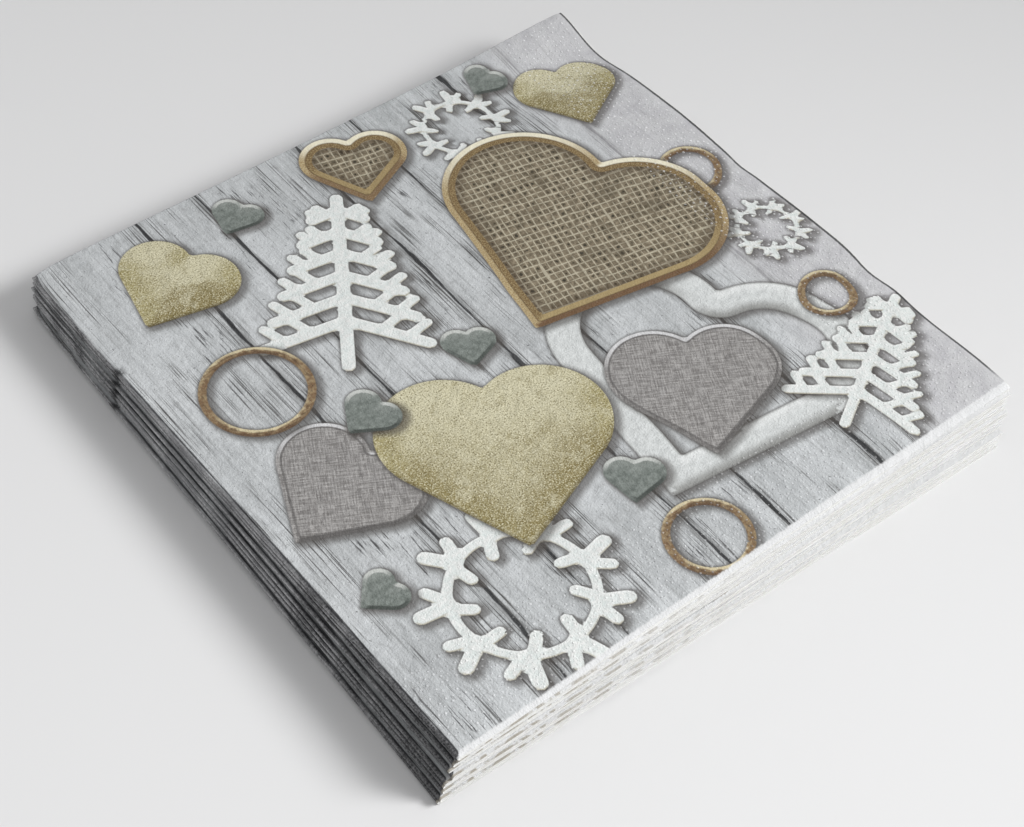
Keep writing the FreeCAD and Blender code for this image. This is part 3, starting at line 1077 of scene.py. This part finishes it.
def solid_sheet(mesh, name):
    """The sheet with its thickness: print outside, plain inside, cut paper round the rim."""
    holder = new_object(name, mesh)
    weights = puff_weights(mesh)
    puff = holder.vertex_groups.new(name="puff")
    for number in np.flatnonzero(weights > 0):
        puff.add([int(number)], float(weights[number]), "REPLACE")
    solid = holder.modifiers.new("thickness", "SOLIDIFY")
    solid.thickness, solid.offset = EDGE_THICK * MM, 0.0
    solid.vertex_group, solid.thickness_vertex_group = puff.name, SHEET_THICK / EDGE_THICK
    solid.material_offset, solid.material_offset_rim = 1, 2
    return baked_object(holder, name)


print(f"paper {SHEET_THICK} mm thick, and up to {EDGE_THICK} mm at a cut edge")

# %% [markdown]
# ## Making a napkin
# Each napkin goes through the same steps: a flat net, the numbers of the print, the folding tree, the
# laying and the thickness. The net is fine only where its print can be seen.

# %% Build a napkin
FOLD = folding_tree(PRINT)
SHARP_ANGLE = 50


def set_points(mesh, points):
    """Moves a mesh's points to places in millimetres."""
    mesh.vertices.foreach_set("co", (points * MM).ravel())


def smooth(mesh):
    mesh.polygons.foreach_set("use_smooth", [True] * len(mesh.polygons))


def napkin_object(node):
    step_minus = FINE_STEP if node == NAPKINS[0] else WIDE_STEP
    step_plus = FINE_STEP if node == TOP else WIDE_STEP
    step_outer = FINE_STEP if node in (NAPKINS[0], TOP) else WIDE_STEP
    u = both_ways(REACH_U, REACH_U, step_minus, step_plus)
    v = both_ways(REACH_V - HEM, REACH_V, WIDE_STEP, step_outer)
    mesh = flat_sheet(node + "_flat", u, v)
    add_print_data(mesh, white_rim=float(node == TOP))
    mesh = through_tree(mesh, FOLD, node + "_folded", Half_side=HALF, Leaf_pitch=LEAF_PITCH)
    set_points(mesh, lay(read(mesh.vertices, "co", 3), node))
    mesh.materials.clear()
    for material in (PRINT, PLAIN, CUT):
        mesh.materials.append(material)
    mesh = solid_sheet(mesh, node + "_tissue")
    add_bake_map(mesh, -1 if node == NAPKINS[0] else 1)
    smooth(mesh)
    mesh.set_sharp_from_angle(angle=math.radians(SHARP_ANGLE))
    return new_object(node + "_tissue", mesh)


print("the folding tree has", len(FOLD.nodes), "nodes")

# %% [markdown]
# ## The ten napkins
# The loop goes from the lowest napkin to the top one. Each one rides on the stack's only body, takes the
# place of its CAD node and rests on the one below, the lowest on the floor. A loop keeps them equal in all
# but place and drift, as ten napkins from one packet are.

# %% Build them all
for node in NAPKINS:
    piece = napkin_object(node)
    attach(piece, "root")
    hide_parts(node)
    2 * REACH_U * MM
    (2 * REACH_V - HEM) * MM
    print(piece.name, len(piece.data.polygons) * 2, "triangles")

# %% [markdown]
# ## The raised dots of the border
# A roller presses the plies together along the cut edges with rows of small dots, and they catch the light
# along the open side. They repeat by the hundred, so Geometry Nodes place them: one low dome on each point
# of a staggered net that lies on the top leaf. Cutting them into the leaf's own mesh would need a net of a
# tenth of a millimetre.

# %% Where the dots lie
DOT_ROWS, DOT_STEP, ROW_STEP = 14, 1.75, 1.45
DOT_RADIUS, DOT_HEIGHT, LEAST_DOT = 0.38, 0.09, 0.5
DOT_SEGMENTS, DOT_RINGS = 7, 4
DOT_JITTER = 0.2
FIRST_ROW, FIRST_DOT = 2.4, 2.0
JITTER_SEED, SIZE_SEED = 5, 4


def dot_places():
    """Where the dots lie on the flat sheet: rows along the open side and along the front edge."""
    places = []
    for row in range(DOT_ROWS):
        for spot in range(int(SIDE / DOT_STEP)):
            along = FIRST_DOT + (spot + 0.5 * (row % 2)) * DOT_STEP
            inward = FIRST_ROW + row * ROW_STEP
            if along < SIDE - 1.5:
                places.append((REACH_U - inward, along, 0))
            if along < SIDE - FIRST_ROW - DOT_ROWS * ROW_STEP:
                places.append((along, REACH_V - inward, 0))
    jitter = np.random.default_rng(JITTER_SEED).normal(0, DOT_JITTER, (len(places), 3))
    return np.array(places) + jitter * (1, 1, 0)


print("room for", len(dot_places()), "dots in", DOT_ROWS, "rows along each of two edges")

# %% [markdown]
# ## One dome on each place
# The tree puts a low dome on every point and makes each a little smaller or larger, by a random share with
# a fixed seed, as a worn roller does. The dome has few faces, because there are many of them.


# %% The dotting tree
def dotting_tree(material):
    sizes = {"Radius": DOT_RADIUS, "Height": DOT_HEIGHT, "Least share": LEAST_DOT}
    tree, given = new_tree("raised_dots", "Places", "Dots", sizes)
    radius, height = (Wire(tree, given.outputs[name]) for name in ("Radius", "Height"))
    dome = tree.nodes.new("GeometryNodeMeshUVSphere")
    dome.inputs["Segments"].default_value = DOT_SEGMENTS
    dome.inputs["Rings"].default_value = DOT_RINGS
    dome.inputs["Radius"].default_value = 1.0
    share = tree.nodes.new("FunctionNodeRandomValue")
    share.data_type = "FLOAT"
    numbers = [s for s in share.inputs if s.type == "VALUE"]
    tree.links.new(given.outputs["Least share"], numbers[0])
    numbers[1].default_value = 1.0
    share.inputs["Seed"].default_value = SIZE_SEED
    size = Wire(tree, next(s for s in share.outputs if s.type == "VALUE"))
    spread = tree.nodes.new("GeometryNodeInstanceOnPoints")
    plug(tree, joined(tree, radius * size, radius * size, height * size), spread.inputs["Scale"])
    tree.links.new(given.outputs["Places"], spread.inputs["Points"])
    tree.links.new(dome.outputs["Mesh"], spread.inputs["Instance"])
    end_tree(tree, spread.outputs[0], material)
    return tree


print("each dome has", DOT_SEGMENTS, "sides and", DOT_RINGS, "rings")

# %% [markdown]
# ## The dots on the paper
# The dots are made on the flat sheet and then laid with the same rule as the top leaf, so they follow its
# waves. They carry the same print, and one more number that says that they are dots, which makes them
# glint. They lie on the top leaf of the top napkin only, where they can be seen.


# %% Lay the dots
def on_top_leaf(u, v, rise):
    """Places in the stack of points that lie on the flat sheet's top leaf, or stand above it."""
    leaf = np.stack([u - REACH_U + HALF, HALF + REACH_V - SIDE - v, np.full(len(u), OUTER_BEND)], 1)
    return lay(leaf, TOP) + np.outer(rise + SHEET_THICK / 2, (0, 0, 1))


bare = bpy.data.meshes.new("dot_places")
bare.from_pydata(dot_places().tolist(), [], [])
dots_mesh = through_tree(bare, dotting_tree(PRINT), "dots", Radius=DOT_RADIUS, Height=DOT_HEIGHT)
add_print_data(dots_mesh, 1.0)
set_points(dots_mesh, on_top_leaf(*read(dots_mesh.vertices, "co", 3).T))
spots = sheet_places(dots_mesh).T / (REACH_U, REACH_V)
dots_mesh.uv_layers.new(name="OFBake").uv.foreach_set("vector", spots.ravel().astype(np.float32))
smooth(dots_mesh)
dots = new_object(TOP + "_dots", dots_mesh)
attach(dots, "root")
print(sum(len(p.vertices) - 2 for p in dots_mesh.polygons), "triangles in the dots")

# %% [markdown]
# ## The table top
# The stack lies on a plain pale table, here one square so wide that the photograph's view shows no end of
# it. It belongs to the picture and not to the part.

# %% Floor
FLOOR_REACH = 3.0
floor_mesh = bpy.data.meshes.new("floor")
floor_corners = [(x * FLOOR_REACH, y * FLOOR_REACH, 0) for x, y in ((-1, -1), (1, -1), (1, 1), (-1, 1))]
floor_mesh.from_pydata(floor_corners, [], [(0, 1, 2, 3)])
floor = new_object("floor", floor_mesh)
floor_mesh.materials.append(new_material("table_top", (0.715, 0.715, 0.717), 0.7, 0.2)[0])
print("a floor of", 2 * FLOOR_REACH, "m a side")

# %% [markdown]
# ## The light
# In the photograph the light comes from the right, where the open edges are. A sun with a wide disc stands
# for it and makes the soft shadow on the left, a lamp with a narrow beam in the same place brightens the
# table in front, and a pale sky fills the rest. One lamp alone would leave a dark band on the table in a
# view from behind. What a camera sees behind the table is a plain grey.

# %% Lamps and sky
SKY, BEHIND_THE_TABLE = 0.53, (0.48, 0.48, 0.483)
SUN_WAY, SUN_STRENGTH, SUN_ANGLE = (760, -650, 700), 0.75, 26
LAMP_PLACE, LAMP_AIM, LAMP_SIZE = (760, -650, 700), (-217, -70, 0), 400
LAMP_POWER, LAMP_BEAM = 1.15, 48


def light(name, kind, place, aim):
    """A light at a place that shines at another."""
    holder = new_object(name, bpy.data.lights.new(name, kind))
    holder.location = Vector(place) * MM
    holder.rotation_mode = "QUATERNION"
    holder.rotation_quaternion = (Vector(aim) - Vector(place)).to_track_quat("-Z", "Y")
    return holder.data


window = light("window", "SUN", SUN_WAY, (0, 0, 0))
window.energy, window.angle = SUN_STRENGTH, math.radians(SUN_ANGLE)
lamp = light("lamp", "AREA", LAMP_PLACE, LAMP_AIM)
lamp.energy, lamp.size, lamp.spread = LAMP_POWER, LAMP_SIZE * MM, math.radians(LAMP_BEAM)

world = bpy.data.worlds.new("sky")
world.use_nodes = True
bpy.context.scene.world = world
links = world.node_tree.links
sky = next(n for n in world.node_tree.nodes if n.type == "BACKGROUND")
sky.inputs["Color"].default_value = (0.995, 0.995, 1.0, 1.0)
sky.inputs["Strength"].default_value = SKY
seen = world.node_tree.nodes.new("ShaderNodeBackground")
seen.inputs["Color"].default_value = (*BEHIND_THE_TABLE, 1.0)
either = world.node_tree.nodes.new("ShaderNodeMixShader")
path = world.node_tree.nodes.new("ShaderNodeLightPath")
links.new(path.outputs["Is Camera Ray"], either.inputs[0])
links.new(sky.outputs[0], either.inputs[1])
links.new(seen.outputs[0], either.inputs[2])
world_out = next(n for n in world.node_tree.nodes if n.type == "OUTPUT_WORLD")
links.new(either.outputs[0], world_out.inputs["Surface"])
bpy.context.scene.view_settings.view_transform = "Standard"
print("a sky, a window and a lamp light the floor")
